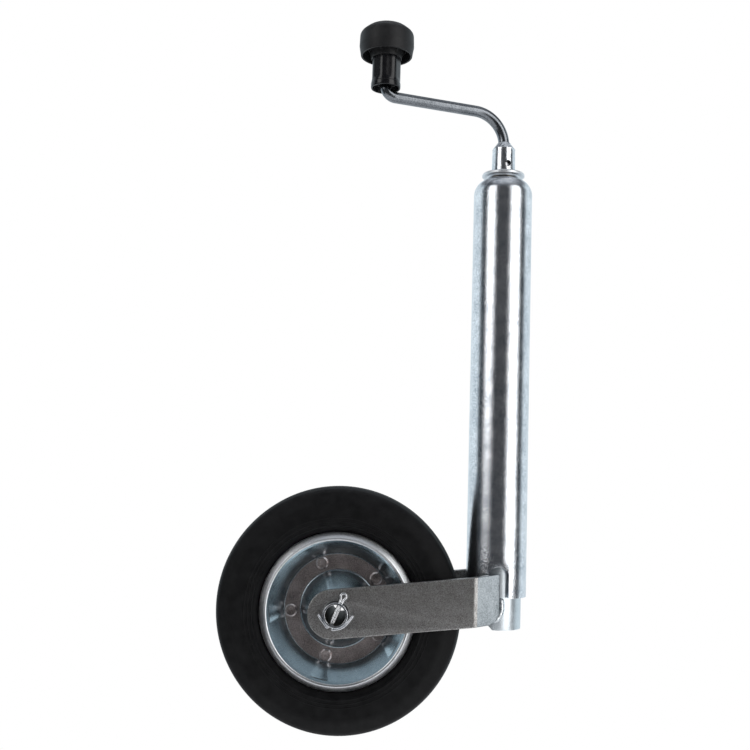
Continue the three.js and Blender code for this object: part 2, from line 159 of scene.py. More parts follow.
def smooth_curve(points, steps):
    """Points on a Catmull-Rom curve through the given points."""
    knots = [Vector(p) for p in points]
    ends = [2 * knots[0] - knots[1], *knots, 2 * knots[-1] - knots[-2]]
    curve = [knots[0]]
    for i in range(len(knots) - 1):
        before, start, end, after = ends[i:i + 4]
        for step in range(1, steps + 1):
            t = step / steps
            curve.append(0.5 * (
                2 * start
                + (end - before) * t
                + (2 * before - 5 * start + 4 * end - after) * t ** 2
                + (3 * start - before - 3 * end + after) * t ** 3
            ))
    return curve


# --- meshes -------------------------------------------------------------------------------------

def lathe(profile, sides=96, axis="Z"):
    """A closed [radius, height] profile turned about an axis. Points on the axis become one vertex."""
    bm = bmesh.new()
    columns = []
    poles = {}
    for side in range(sides):
        angle = 2 * math.pi * side / sides
        column = []
        for row, (radius, height) in enumerate(profile):
            if radius < 1e-6 and row in poles:
                column.append(poles[row])
                continue
            across, up = radius * math.cos(angle), radius * math.sin(angle)
            place_at = (across, up, height) if axis == "Z" else (across, height, up)
            vertex = bm.verts.new(place_at)
            if radius < 1e-6:
                poles[row] = vertex
            column.append(vertex)
        columns.append(column)
    rows = len(profile)
    for side in range(sides):
        left, right = columns[side], columns[(side + 1) % sides]
        for row in range(rows):
            corners = [left[row], right[row], right[(row + 1) % rows], left[(row + 1) % rows]]
            distinct = list(dict.fromkeys(corners))
            if len(distinct) > 2:
                bm.faces.new(distinct)
    bmesh.ops.recalc_face_normals(bm, faces=bm.faces)
    return bm


def sweep(points, radius, sides=16):
    """A round bar along 3-D points, closed at both ends. radius may be a function of 0..1 along it."""
    path = [Vector(p) for p in points]
    size = radius if callable(radius) else lambda share: radius
    bm = bmesh.new()
    across = None
    rings = []
    for i, point in enumerate(path):
        along = (path[min(i + 1, len(path) - 1)] - path[max(i - 1, 0)]).normalized()
        if across is None:
            across = along.orthogonal().normalized()
        across = (across - along * across.dot(along)).normalized()
        other = along.cross(across)
        ring = []
        for side in range(sides):
            angle = 2 * math.pi * side / sides
            spoke = across * math.cos(angle) + other * math.sin(angle)
            ring.append(bm.verts.new(point + spoke * size(i / (len(path) - 1))))
        rings.append(ring)
    for first, second in zip(rings, rings[1:]):
        for side in range(sides):
            after = (side + 1) % sides
            bm.faces.new((first[side], first[after], second[after], second[side]))
    bm.faces.new(rings[0])
    bm.faces.new(rings[-1])
    bmesh.ops.recalc_face_normals(bm, faces=bm.faces)
    return bm


def plate(outline, low, high):
    """A flat plate with an (x, z) outline, filling y from low to high."""
    bm = bmesh.new()
    bottom = [bm.verts.new((x, low, z)) for x, z in outline]
    top = [bm.verts.new((x, high, z)) for x, z in outline]
    bm.faces.new(bottom)
    bm.faces.new(top)
    for i in range(len(outline)):
        after = (i + 1) % len(outline)
        bm.faces.new((bottom[i], bottom[after], top[after], top[i]))
    bmesh.ops.recalc_face_normals(bm, faces=bm.faces)
    return bm


def rod_about_y(radius, low, high, sides=48):
    return lathe([(0, low), (radius, low), (radius, high), (0, high)], sides, "Y")


def turned(bm, matrix):
    bmesh.ops.transform(bm, matrix=matrix, verts=bm.verts)
    return bm


def mirrored(bm):
    """bm as its mirror image in the plane y = 0."""
    bmesh.ops.transform(bm, matrix=Matrix.Scale(-1, 4, (0, 1, 0)), verts=bm.verts)
    bmesh.ops.reverse_faces(bm, faces=bm.faces)
    return bm


def modified(bm, *make_modifiers):
    """bm after Blender modifiers, each made by a function that is given the object."""
    mesh = bpy.data.meshes.new("working")
    bm.to_mesh(mesh)
    bm.free()
    holder = bpy.data.objects.new("working", mesh)
    bpy.context.scene.collection.objects.link(holder)
    for make in make_modifiers:
        make(holder)
    bpy.context.view_layer.update()
    result = bmesh.new()
    result.from_object(holder, bpy.context.evaluated_depsgraph_get())
    bpy.data.objects.remove(holder)
    bpy.data.meshes.remove(mesh)
    return result


def cut(bm, *cutters):
    """bm with each cutter taken out of it."""
    for cutter in cutters:
        mesh = bpy.data.meshes.new("cutter")
        cutter.to_mesh(mesh)
        cutter.free()
        tool = bpy.data.objects.new("cutter", mesh)
        bpy.context.scene.collection.objects.link(tool)

        def boolean(holder, tool=tool):
            modifier = holder.modifiers.new("cut", "BOOLEAN")
            modifier.operation = "DIFFERENCE"
            modifier.solver = "EXACT"
            modifier.object = tool

        bm = modified(bm, boolean)
        bpy.data.objects.remove(tool)
        bpy.data.meshes.remove(mesh)
    return bm


def bevelled(bm, width, segments=2, angle=40):
    """bm with its sharp edges rounded."""
    def bevel(holder):
        modifier = holder.modifiers.new("bevel", "BEVEL")
        modifier.width = width
        modifier.segments = segments
        modifier.limit_method = "ANGLE"
        modifier.angle_limit = math.radians(angle)
    return modified(bm, bevel)


def place(name, bm, matrix, material, body, replaces=(), crease=38, extra=(), on=None):
    """Makes a piece of the object from a mesh in millimetres, smooth except at its creases.
    on() says which material a face gets: 0, or the place of one of the extra ones."""
    if extra:
        for face in bm.faces:
            face.material_index = int(on(face))
    bmesh.ops.transform(bm, matrix=matrix, verts=bm.verts)
    for face in bm.faces:
        face.smooth = True
    for edge in bm.edges:
        if len(edge.link_faces) == 2:
            edge.smooth = edge.calc_face_angle(0) < math.radians(crease)
    mesh = bpy.data.meshes.new(name)
    bm.to_mesh(mesh)
    bm.free()
    mesh.materials.append(material)
    for other in extra:
        mesh.materials.append(other)
    piece = bpy.data.objects.new(name, mesh)
    bpy.context.scene.collection.objects.link(piece)
    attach(piece, body)
    if replaces:
        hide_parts(*replaces)
    return piece


# --- materials ----------------------------------------------------------------------------------

class Finish:
    """One procedural material, laid out in the piece's own coordinates."""

    def __init__(self, name, metallic=0.0, **sockets):
        self.material = bpy.data.materials.new(name)
        self.material.use_nodes = True
        self.tree = self.material.node_tree
        self.shader = self.tree.nodes["Principled BSDF"]
        self.shader.inputs["Metallic"].default_value = metallic
        for socket, value in sockets.items():
            self.shader.inputs[socket.replace("_", " ")].default_value = value
        self.coordinates = self.tree.nodes.new("ShaderNodeTexCoord").outputs["Object"]
        self.normal = None

    def node(self, kind, **inputs):
        node = self.tree.nodes.new(kind)
        for name, value in inputs.items():
            socket = node.inputs[name.replace("_", " ")]
            if isinstance(value, bpy.types.NodeSocket):
                self.tree.links.new(value, socket)
            else:
                socket.default_value = value
        return node

    def noise(self, size, detail=3.0, roughness=0.5, stretch=(1, 1, 1), distortion=0.0):
        """Noise with features about size millimetres across."""
        scale = [1000 / size / s for s in stretch]
        mapping = self.node("ShaderNodeMapping", Vector=self.coordinates, Scale=scale)
        texture = self.node("ShaderNodeTexNoise", Vector=mapping.outputs["Vector"], Scale=1.0,
                            Detail=detail, Roughness=roughness, Distortion=distortion)
        return texture.outputs["Fac"]

    def cells(self, size):
        """Distance to the nearest of scattered points, about size millimetres apart."""
        mapping = self.node("ShaderNodeMapping", Vector=self.coordinates, Scale=[1000 / size] * 3)
        texture = self.node("ShaderNodeTexVoronoi", Vector=mapping.outputs["Vector"], Scale=1.0)
        return texture.outputs["Distance"]

    def between(self, value, from_low, from_high, to_low, to_high):
        """value, limited to a span and taken to another one."""
        mapped = self.node("ShaderNodeMapRange", Value=value)
        for index, number in enumerate((from_low, from_high, to_low, to_high), 1):
            mapped.inputs[index].default_value = number
        return mapped.outputs["Result"]

    def times(self, first, second):
        product = self.tree.nodes.new("ShaderNodeMath")
        product.operation = "MULTIPLY"
        for socket, value in zip(product.inputs, (first, second)):
            if isinstance(value, bpy.types.NodeSocket):
                self.tree.links.new(value, socket)
            else:
                socket.default_value = value
        return product.outputs["Value"]

    def plus(self, first, second):
        total = self.tree.nodes.new("ShaderNodeMath")
        total.operation = "ADD"
        self.tree.links.new(first, total.inputs[0])
        self.tree.links.new(second, total.inputs[1])
        return total.outputs["Value"]

    def colour(self, value, *stops):
        """Base colour from a ramp of (position, (red, green, blue)) stops."""
        ramp = self.node("ShaderNodeValToRGB", Fac=value)
        elements = ramp.color_ramp.elements
        while len(elements) < len(stops):
            elements.new(0.5)
        for element, (position, rgb) in zip(elements, stops):
            element.position = position
            element.color = (*rgb, 1)
        self.tree.links.new(ramp.outputs["Color"], self.shader.inputs["Base Color"])

    def roughness(self, value):
        self.tree.links.new(value, self.shader.inputs["Roughness"])

    def bump(self, height, depth):
        """Adds relief of depth millimetres between the heights 0 and 1."""
        bump = self.node("ShaderNodeBump", Strength=1.0, Distance=depth / 1000, Height=height)
        if self.normal:
            self.tree.links.new(self.normal, bump.inputs["Normal"])
        self.normal = bump.outputs["Normal"]
        self.tree.links.new(self.normal, self.shader.inputs["Normal"])


def zinc_plate(name, light, dark, rough, peel, peel_depth, speck_depth=0.006, scratch=0.0):
    """Zinc plating: cloudy tint, orange peel, fine specks and, if asked, long fine scratches."""
    finish = Finish(name, metallic=1.0)
    clouds = finish.noise(13, detail=4, roughness=0.6)
    specks = finish.noise(0.95, detail=3, roughness=0.65)
    mix = finish.plus(finish.times(clouds, 0.35), finish.times(specks, 0.65))
    finish.colour(mix, (0.34, dark), (0.62, light))
    finish.roughness(finish.between(mix, 0.3, 0.7, rough[0], rough[1]))
    finish.bump(finish.noise(peel, detail=2.5), peel_depth)
    finish.bump(finish.noise(peel * 0.4, detail=3, roughness=0.65), peel_depth * 0.55)
    finish.bump(specks, speck_depth)
    if scratch:
        lines = finish.noise(0.5, detail=1, stretch=(1, 1, 26), distortion=0.2)
        finish.bump(finish.between(lines, 0.60, 0.72, 1.0, 0.0), scratch)
    return finish.material


def dull_zinc():
    """Flat bar, pickled and plated: grey-brown, finely mottled, with darker stains."""
    finish = Finish("dull_zinc_plate", metallic=1.0)
    grain = finish.noise(0.8, detail=5, roughness=0.7)
    stains = finish.noise(9, detail=3)
    mix = finish.plus(finish.times(grain, 0.82), finish.times(stains, 0.18))
    finish.colour(mix, (0.40, (0.18, 0.17, 0.165)), (0.5, (0.33, 0.32, 0.31)), (0.60, (0.54, 0.54, 0.54)))
    finish.roughness(finish.between(mix, 0.35, 0.65, 0.50, 0.34))
    finish.bump(grain, 0.06)
    finish.bump(finish.between(finish.cells(5.5), 0.0, 0.14, 0.0, 1.0), 0.07)
    return finish.material


def machined_steel(name, light, dark, rough):
    """Turned or drawn steel, with fine tool marks round it."""
    finish = Finish(name, metallic=1.0)
    marks = finish.noise(0.35, detail=2, stretch=(12, 12, 1))
    clouds = finish.noise(6, detail=3)
    finish.colour(clouds, (0.3, dark), (0.7, light))
    finish.roughness(finish.between(marks, 0.3, 0.7, rough - 0.07, rough + 0.1))
    finish.bump(marks, 0.006)
    return finish.material


def moulded(name, colour, rough, grain, depth, **sockets):
    """Moulded plastic or rubber, with a fine grain and faint handling marks."""
    finish = Finish(name, **sockets)
    clouds = finish.noise(9, detail=4, roughness=0.65)
    texture = finish.noise(grain, detail=2)
    pale = tuple(c * 1.5 + 0.004 for c in colour)
    finish.colour(clouds, (0.35, colour), (0.75, pale))
    finish.roughness(finish.between(clouds, 0.3, 0.75, rough - 0.05, rough + 0.07))
    finish.bump(texture, depth)
    return finish.material


def weld_metal():
    """Plated weld: pale, with soft ripples and small pits."""
    finish = Finish("plated_weld", metallic=1.0)
    clouds = finish.noise(2.4, detail=4)
    finish.colour(clouds, (0.35, (0.5, 0.53, 0.55)), (0.65, (0.74, 0.77, 0.79)))
    finish.roughness(finish.between(clouds, 0.3, 0.7, 0.28, 0.42))
    finish.bump(clouds, 0.12)
    return finish.material


ZINC = zinc_plate("bright_zinc_tube", (0.92, 0.93, 0.95), (0.40, 0.44, 0.49), (0.11, 0.21), 1.3, 0.11,
                  speck_depth=0.012, scratch=0.004)
# A much darker copy of the bright zinc, for the crank's bar: painted shade.
ROD_ZINC = zinc_plate("bright_zinc_bar", (0.25, 0.265, 0.285), (0.10, 0.11, 0.12), (0.16, 0.26), 1.4, 0.045)
RIM_ZINC = zinc_plate("bright_zinc_pressing", (0.54, 0.62, 0.66), (0.32, 0.38, 0.42), (0.17, 0.28), 1.6,
                      0.045)
# A brown copy of the pressing's zinc, for the flat ring and the rivet heads: painted reflection.
RING_ZINC = zinc_plate("brown_zinc_pressing", (0.66, 0.59, 0.58), (0.24, 0.20, 0.19), (0.26, 0.42), 1.2, 0.06)
# A darker copy of the arm's plating, for the feet past the bend: painted shade.
FOOT_ZINC = zinc_plate("zinc_at_the_weld", (0.30, 0.33, 0.35), (0.10, 0.115, 0.125), (0.26, 0.40), 1.8, 0.14)
# A paler copy of the pressing's zinc, for the turned lip: painted highlight.
LIP_ZINC = zinc_plate("bright_zinc_lip", (0.94, 0.95, 0.96), (0.70, 0.72, 0.75), (0.26, 0.38), 1.3, 0.05)
LEG_ZINC = zinc_plate("satin_zinc_leg", (0.74, 0.79, 0.82), (0.56, 0.61, 0.64), (0.30, 0.42), 1.6, 0.05)
SATIN_ZINC = zinc_plate("satin_zinc_cap", (0.84, 0.86, 0.88), (0.74, 0.76, 0.78), (0.38, 0.50), 1.6, 0.04)
BORE_BLACK = moulded("shadowed_bore", (0.006, 0.006, 0.006), 0.8, 0.6, 0.01, Specular_IOR_Level=0.1)
# A near-black copy of the steel, for the inside of the axle's bore: painted shade.
BORE_STEEL = machined_steel("dark_bore_steel", (0.09, 0.08, 0.07), (0.04, 0.035, 0.03), 0.6)
DULL_ZINC = dull_zinc()
WELD = weld_metal()
STEEL = machined_steel("turned_steel", (0.62, 0.63, 0.65), (0.5, 0.5, 0.52), 0.32)
WIRE = machined_steel("drawn_wire", (0.80, 0.81, 0.83), (0.66, 0.67, 0.69), 0.2)
HARDENED = machined_steel("ground_steel", (0.78, 0.79, 0.81), (0.7, 0.71, 0.73), 0.16)
BRONZE = machined_steel("bronze", (0.72, 0.50, 0.24), (0.58, 0.38, 0.17), 0.36)
BRASS = machined_steel("brass", (0.82, 0.64, 0.30), (0.70, 0.52, 0.22), 0.28)
NYLON = moulded("nylon", (0.62, 0.60, 0.52), 0.48, 0.6, 0.01)
RUBBER = moulded("tyre_rubber", (0.002, 0.002, 0.0023), 0.60, 0.5, 0.03, Specular_IOR_Level=0.14)
GLOSS_BLACK = moulded("gloss_black_plastic", (0.004, 0.004, 0.005), 0.22, 1.2, 0.008,
                      Specular_IOR_Level=0.4)
MATT_BLACK = moulded("matt_black_plastic", (0.006, 0.006, 0.0065), 0.50, 0.55, 0.02,
                     Specular_IOR_Level=0.3)

FINISH_OF_SLOT = {
    "bright_zinc": ZINC,
    "dull_zinc": DULL_ZINC,
    "plain_steel": STEEL,
    "bearing_steel": HARDENED,
    "bronze": BRONZE,
    "cage_brass": BRASS,
    "nylon": NYLON,
    "black_rubber": RUBBER,
    "gloss_black": GLOSS_BLACK,
    "matt_black": MATT_BLACK,
}


# --- outer tube ---------------------------------------------------------------------------------

TUBE_R = 24.0
TUBE_BORE_R = 21.5
DOME_R = 14.0
NECK_R = 10.0
NOTCH_HALF_WIDTH = 8.0
NOTCH_H = 24.4


def dome(radius):
    """The domed shoulder's section, from the tube's side to the neck."""
    centre_r, centre_z = TUBE_R - DOME_R, TUBE_H - DOME_R
    end = math.degrees(math.acos((NECK_R - centre_r) / radius))
    return arc(centre_r, centre_z, radius, 0, end, 16)


# Rings of vertices along the walls, which keep the shading true away from the cut ends.
WALL_ROWS_Z = (30, 45, 70, 110, 160, 220, 290)


def outer_tube():
    profile = [
        (TUBE_BORE_R, 0),
        (TUBE_R, 0),
        *[(TUBE_R, z) for z in WALL_ROWS_Z],
        *dome(DOME_R),
        *reversed(dome(DOME_R - (TUBE_R - TUBE_BORE_R))),
    ]
    crown = NOTCH_H - NOTCH_HALF_WIDTH
    notch = plate([
        (-NOTCH_HALF_WIDTH, -2),
        (NOTCH_HALF_WIDTH, -2),
        *arc(0, crown, NOTCH_HALF_WIDTH, 0, 180, 20),
    ], -TUBE_R - 3, TUBE_R + 3)
    return bevelled(cut(lathe(profile, 144), notch), 0.4)


place("outer_tube_drawn", outer_tube(), TUBES, ZINC, "barrel", ["outer_tube"])


# --- inner tube ---------------------------------------------------------------------------------

LEG_R = 20.0
LEG_BORE_R = 17.5
LEG_TOP_Z = 303.0
LEG_BOTTOM_Z = in_tubes(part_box("inner_tube")[0]).z


def inner_tube():
    ring = lathe([
        (LEG_BORE_R, LEG_BOTTOM_Z),
        (LEG_R, LEG_BOTTOM_Z),
        *[(LEG_R, z) for z in (0, *WALL_ROWS_Z)],
        (LEG_R, LEG_TOP_Z),
        (LEG_BORE_R, LEG_TOP_Z),
    ], 120)
    mitre = plate([(-24, LEG_BOTTOM_Z - 5), (1, LEG_BOTTOM_Z - 5), (-24, -5)], -LEG_R - 3, LEG_R + 3)
    return bevelled(cut(ring, mitre), 0.35)


place("inner_tube_drawn", inner_tube(), TUBES, LEG_ZINC, "leg", ["inner_tube"])


# --- crank --------------------------------------------------------------------------------------

HEAD_FIT_R = 6.8
FLANGE_R = 17.5
FLANGE_Z = 342.0
FLANGE_TOP_Z = 346.2
SLEEVE_Z = 346.5
SLEEVE_BORE_TOP_Z = 363.6
SLEEVE_MOUTH_R = 5.35
SLEEVE_TOP_Z = 367.5
ROLL_PIN_Z = 353.0
ROLL_PIN_R = 2.5
ROLL_PIN_BORE_R = 1.7
ROLL_PIN_HALF = 6.8
BAR_R = 4.5
BAR_FOOT_Z = 364.3
BAR_BEND_Z = 370.0
BAR_TOP_Z = 449.0
BAR_RISE_DEGREES = 2.2


def crank_flange():
    return lathe(rounded([
        (HEAD_FIT_R, FLANGE_Z),
        (12.5, FLANGE_Z, 0.3),
        (13.6, FLANGE_Z + 1.1, 0.3),
        (FLANGE_R, FLANGE_Z + 1.1, 0.5),
        (FLANGE_R, FLANGE_Z + 3.5, 1.2),
        (9.6, FLANGE_TOP_Z),
        (HEAD_FIT_R, FLANGE_TOP_Z),
    ]), 96)


def crank_sleeve():
    """A turned sleeve, closed round the bar by a cone of weld with an uneven skin."""
    top = SLEEVE_TOP_Z
    profile = rounded([
        (HEAD_FIT_R, SLEEVE_Z),
        (9.75, SLEEVE_Z, 0.3),
        (9.3, top - 0.8, 0.9),
        (8.4, top + 0.2, 0.4),
        (6.9, top + 2.2, 1.0),
        (SLEEVE_MOUTH_R, top + 4.7),
        (SLEEVE_MOUTH_R, SLEEVE_BORE_TOP_Z),
        (HEAD_FIT_R, SLEEVE_BORE_TOP_Z),
    ])
    bm = lathe(densified([*profile, profile[0]], 1.2)[:-1], 96)
    for vertex in bm.verts:
        radius = math.hypot(vertex.co.x, vertex.co.y)
        if radius > 5.6 and vertex.co.z > top - 1.2:
            lump = noise.noise(vertex.co * 0.45) + 0.5 * noise.noise(vertex.co * 1.1)
            vertex.co += Vector((vertex.co.x, vertex.co.y, 0)) / radius * (0.45 * lump)
    hole = rod_about_y(ROLL_PIN_R + 0.2, -15, 15, 40)
    return cut(bm, turned(hole, Matrix.Translation((0, 0, ROLL_PIN_Z))))


def roll_pin():
    """A slotted spring pin, rolled from strip."""
    slot = 22
    outside = arc(0, 0, ROLL_PIN_R, slot, 360 - slot, 36)
    inside = arc(0, 0, ROLL_PIN_BORE_R, 360 - slot, slot, 36)
    bm = bevelled(plate([*outside, *inside], -ROLL_PIN_HALF, ROLL_PIN_HALF), 0.2)
    return turned(bm, Matrix.Translation((0, 0, ROLL_PIN_Z)))


def crank_bar():
    """Up from the sleeve, over, out along the gently rising arm, and up again into the knob."""
    inner_r, outer_r = 27.0, 9.0
    rise = math.radians(BAR_RISE_DEGREES)
    turn = 90 - BAR_RISE_DEGREES
    inner = arc(inner_r, BAR_BEND_Z, inner_r, 180, 180 - turn, 28)
    outer_x = CRANK_REACH - outer_r
    start_x = outer_x + outer_r * math.sin(rise)
    start_z = inner[-1][1] + (start_x - inner[-1][0]) * math.tan(rise)
    outer = arc(outer_x, start_z + outer_r * math.cos(rise), outer_r, -turn, 0, 20)
    line = densified([(0, BAR_FOOT_Z), *inner, *outer, (CRANK_REACH, BAR_TOP_Z)], 3)
    return sweep([(-x, 0, z) for x, z in line], BAR_R, 40)


place("crank_flange_turned", crank_flange(), CRANK, SATIN_ZINC, "crank", ["crank_flange"])
place("crank_sleeve_welded", crank_sleeve(), CRANK, ZINC, "crank", ["crank_sleeve"])
place("sleeve_roll_pin_slotted", roll_pin(), CRANK, BORE_BLACK, "crank", ["sleeve_roll_pin"])
# The bar wears the darker copy of the bright zinc: painted shade.
place("crank_bar_bent", crank_bar(), CRANK, ROD_ZINC, "crank", ["crank_rod"])


# --- spindle with a real thread -----------------------------------------------------------------

THREAD_PITCH = 4.0
THREAD_R = 8.0
THREAD_ROOT_R = 5.9
THREAD_LOW_Z = 64.0
THREAD_TOP_Z = 312.0
SPINDLE_LOW_Z = 56.0
SPINDLE_TOP_Z = 362.0
SPINDLE_TAIL_R = 6.0
SPINDLE_HEAD_R = 6.5
SPINDLE_HEAD_Z = 341.2
CLIP_GROOVE_R = 5.0
CLIP_GROOVE_LOW_Z = 58.2
CLIP_GROOVE_TOP_Z = 60.1


def thread_radius(height, angle):
    """A 30 degree trapezoidal right-hand thread."""
    phase = (height / THREAD_PITCH - angle / (2 * math.pi)) % 1
    flank = min(max(abs(phase - 0.5) * 2 * 2.6 - 0.95, 0), 1)
    return THREAD_R - (THREAD_R - THREAD_ROOT_R) * flank


def spindle():
    groove = [
        (SPINDLE_TAIL_R, CLIP_GROOVE_LOW_Z),
        (CLIP_GROOVE_R, CLIP_GROOVE_LOW_Z),
        (CLIP_GROOVE_R, CLIP_GROOVE_TOP_Z),
        (SPINDLE_TAIL_R, CLIP_GROOVE_TOP_Z),
    ]
    thread_length = THREAD_TOP_Z - THREAD_LOW_Z
    count = round(thread_length / THREAD_PITCH * 10)
    threaded = [(THREAD_R, THREAD_LOW_Z + thread_length * i / count) for i in range(count + 1)]
    bm = lathe([
        (SPINDLE_TAIL_R, SPINDLE_LOW_Z),
        *groove,
        (SPINDLE_TAIL_R, THREAD_LOW_Z),
        *threaded,
        (THREAD_R, THREAD_TOP_Z + 1),
        (THREAD_R, SPINDLE_HEAD_Z),
        (SPINDLE_HEAD_R, SPINDLE_HEAD_Z),
        (SPINDLE_HEAD_R, SPINDLE_TOP_Z),
        (0, SPINDLE_TOP_Z),
        (0, SPINDLE_LOW_Z),
    ], 36)
    for vertex in bm.verts:
        height = vertex.co.z
        if THREAD_LOW_Z < height < THREAD_TOP_Z:
            angle = math.atan2(vertex.co.y, vertex.co.x)
            fade = min((height - THREAD_LOW_Z) / 2, (THREAD_TOP_Z - height) / 2, 1)
            radius = THREAD_R + (thread_radius(height, angle) - THREAD_R) * fade
            vertex.co.x, vertex.co.y = radius * math.cos(angle), radius * math.sin(angle)
    return bm


place("spindle_threaded", spindle(), CRANK, STEEL, "crank", ["spindle"])


# --- knob ---------------------------------------------------------------------------------------

STEM_Z = 406.0
STEM_FLUTES = 7
CAP_RIM_Z = 433.0
CAP_TOP_Z = 458.5
CAP_RIBS = 6


def knob_core():
    """A fluted stem with a plain collar at its lower end, countersunk for the bar."""
    profile = rounded([
        (9.6, STEM_Z + 5.0, 0.4),
        (10.9, STEM_Z, 0.3),
        (11.8, STEM_Z, 0.4),
        (12.05, STEM_Z + 1.2, 0.4),
        (12.05, STEM_Z + 3.9, 0.3),
        (11.75, STEM_Z + 4.5, 0.3),
        (11.75, 431, 0.5),
        (9, 433.4, 0.5),
        (9, 445.4),
        (4.8, 445.4),
        (4.8, STEM_Z + 5.0, 0.4),
    ])
    bm = lathe(densified([*profile, profile[0]], 1.0)[:-1], 144)
    flute_low, flute_high = STEM_Z + 5.4, 431.0
    for vertex in bm.verts:
        radius = math.hypot(vertex.co.x, vertex.co.y)
        height = vertex.co.z
        if radius > 11 and flute_low < height < flute_high:
            angle = math.atan2(vertex.co.y, vertex.co.x)
            run_in = min((height - flute_low) / 2.2, 1)
            depth = 0.6 * run_in * math.sin(STEM_FLUTES * angle / 2) ** 2
            vertex.co.x *= (radius - depth) / radius
            vertex.co.y *= (radius - depth) / radius
    return bm


def knob_cap():
    """A hollow palm cap with a crowned top and a socket for the stem; the webs between the two come from
    cap_web.
    """
    profile = rounded([
        (0, 452.6),
        (9.3, 452.6),
        (9.3, CAP_RIM_Z + 0.9),
        (12.05, CAP_RIM_Z - 2.2),
        (12.35, CAP_RIM_Z - 2.0),
        (13.3, CAP_RIM_Z + 2.5, 12),
        (15.8, 443.0, 6),
        (17.0, 449.2, 1),
        (19.0, 449.0, 0.6),
        (19.4, CAP_RIM_Z, 0.4),
        (20.9, CAP_RIM_Z, 0.5),
        (22.25, 441, 6),
        (21.9, 451.5, 5.5),
        (14.5, 457.6, 10),
        (0, CAP_TOP_Z),
    ], degrees_per_step=8)
    return lathe(profile, 128)


def cap_web(index):
    """A web that sweeps from the socket out to the cap's wall."""
    lower_edge = arc(20.6, CAP_RIM_Z - 1.3, 7.6, 176, 98, 10)
    outline = [*lower_edge, (20.0, 449.0), (12.9, 449.0)]
    web = bevelled(plate(outline, -0.8, 0.8), 0.25)
    return turned(web, Matrix.Rotation(2 * math.pi * index / CAP_RIBS + 0.2, 4, "Z"))


def merged(*meshes):
    """Several meshes as one."""
    whole = bmesh.new()
    for bm in meshes:
        mesh = bpy.data.meshes.new("working")
        bm.to_mesh(mesh)
        bm.free()
        whole.from_mesh(mesh)
        bpy.data.meshes.remove(mesh)
    return whole


place("knob_stem_fluted", knob_core(), HANDLE, GLOSS_BLACK, "knob", ["knob_core"])
webs = [cap_web(index) for index in range(CAP_RIBS)]
place("knob_palm_cap", merged(knob_cap(), *webs), HANDLE, MATT_BLACK, "knob", ["knob_cap"])


# --- fork arms ----------------------------------------------------------------------------------

ARM_WIDTH = 38.0
ARM_THICK = 5.0
ARM_OUTER_Y = 35.0
ARM_BEND_X = -19.3
ARM_END_X = 0.9
ARM_BEND = math.radians(22.5)
ARM_BEND_R = 6.0
ARM_CORNER_R = 11.0
ARM_EYE_OVERHANG = 3.3
WELD_R = 2.7
FOOT_START_X = ARM_BEND_X + 2.2
ARM_SLOPE = AXLE_CENTRE.z / AXLE_CENTRE.x
ARM_ANGLE = math.degrees(math.atan(ARM_SLOPE))
ARM_HALF_RISE = ARM_WIDTH / 2 / math.cos(math.radians(ARM_ANGLE))
AXLE_R = 9.75


def arm_edge(x, side):
    return ARM_SLOPE * x + side * ARM_HALF_RISE


def fold(point):
    """A point of the flat sheet, its outer face at y 0, after the end is folded in."""
    x, y, z = point
    start = ARM_BEND_X - ARM_BEND_R * math.tan(ARM_BEND / 2)
    past = x - start
    if past <= 0:
        return Vector((x, y, z))
    turn = min(past / ARM_BEND_R, ARM_BEND)
    straight = max(past - ARM_BEND_R * ARM_BEND, 0)
    centre = Vector((start, ARM_BEND_R))
    outward = Vector((math.sin(turn), -math.cos(turn)))
    along = Vector((math.cos(turn), math.sin(turn)))
    folded = centre + outward * (ARM_BEND_R - y) + along * straight
    return Vector((folded.x, folded.y, z))


def fork_arm(side):
    """side is -1 for the arm towards -Y, and 1 for its mirror image."""
    eye_x = AXLE_CENTRE.x - ARM_EYE_OVERHANG
    sheet_end = ARM_BEND_X + (ARM_END_X - ARM_BEND_X) / math.cos(ARM_BEND)
    corner_x = sheet_end - ARM_CORNER_R
    corner_z = arm_edge(corner_x, -1) + ARM_CORNER_R / math.cos(math.radians(ARM_ANGLE))
    outline = [
        *arc(eye_x, ARM_SLOPE * eye_x, ARM_WIDTH / 2, 90 + ARM_ANGLE, 270 + ARM_ANGLE, 36),
        *arc(corner_x, corner_z, ARM_CORNER_R, ARM_ANGLE - 90, 0, 14),
        (sheet_end, arm_edge(sheet_end, 1)),
    ]
    hole = turned(rod_about_y(AXLE_R + 0.3, -10, 15, 64), Matrix.Translation(AXLE_CENTRE))
    bm = bevelled(cut(plate(outline, 0, ARM_THICK), hole), 0.85, 4)
    cuts = [ARM_BEND_X - 3 + i * 0.5 for i in range(13)] + [ARM_BEND_X + 6 + 3 * i for i in range(5)]
    for x in cuts:
        geometry = [*bm.verts, *bm.edges, *bm.faces]
        bmesh.ops.bisect_plane(bm, geom=geometry, plane_co=(x, 0, 0), plane_no=(1, 0, 0))
    for vertex in bm.verts:
        vertex.co = fold(vertex.co) - Vector((0, ARM_OUTER_Y, 0))
    return mirrored(bm) if side > 0 else bm


def weld_bead(side):
    """The fillet of weld between an arm's foot and the inner tube, below the notch."""
    line = [
        (1.6, -21.4, 0.5),
        (2.2, -21.8, -3.5),
        (2.3, -22.0, -8),
        (1.2, -22.2, -12),
        (-1.4, -22.4, -15.6),
        (-5.5, -22.6, -18.0),
    ]

    def size(share):
        ends = min(share / 0.10, (1 - share) / 0.14, 1) ** 0.5
        return max((WELD_R + 0.12 * math.sin(share * 34)) * ends, 0.1)

    bm = sweep(smooth_curve(line, 12), size, 20)
    return mirrored(bm) if side > 0 else bm


def in_foot(face):
    """Whether a face is past the bend, on the foot, which wears a darker copy of the plating as painted
    shade.
    """
    return face.calc_center_median().x > FOOT_START_X


